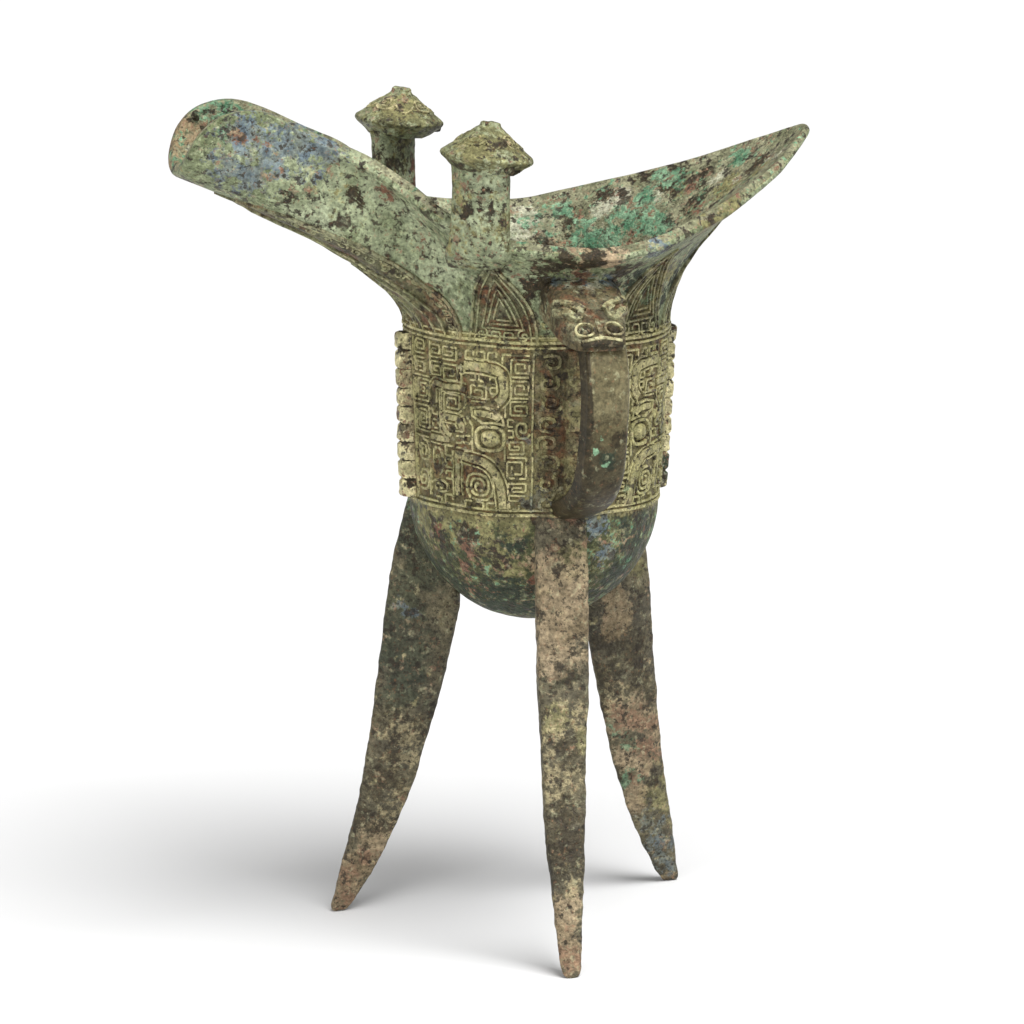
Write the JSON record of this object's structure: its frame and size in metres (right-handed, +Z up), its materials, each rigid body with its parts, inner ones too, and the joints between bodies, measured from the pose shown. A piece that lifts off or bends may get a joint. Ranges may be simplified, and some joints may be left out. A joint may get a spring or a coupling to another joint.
{
  "type": "bronze jue vessel",
  "caption": "Hollow tripod wine vessel of patinated cast bronze: long pouring spout, pointed tail, capped posts, strap handle with ox head, blade legs.",
  "frame": {"origin": "middle of the bounding box in plan, at the floor that the feet stand on", "axes": "+Z up; the spout points along -X, the tail along +X and the handle along -Y; the body's axis leans 1.6 degrees towards +X"},
  "size_m": [0.161, 0.104, 0.2108],
  "materials": {
    "patinated_bronze": "matt green and brown patina on cast bronze"
  },
  "bodies": {
    "root": {"jue_vessel": "patinated_bronze"}
  },
  "joints": []
}
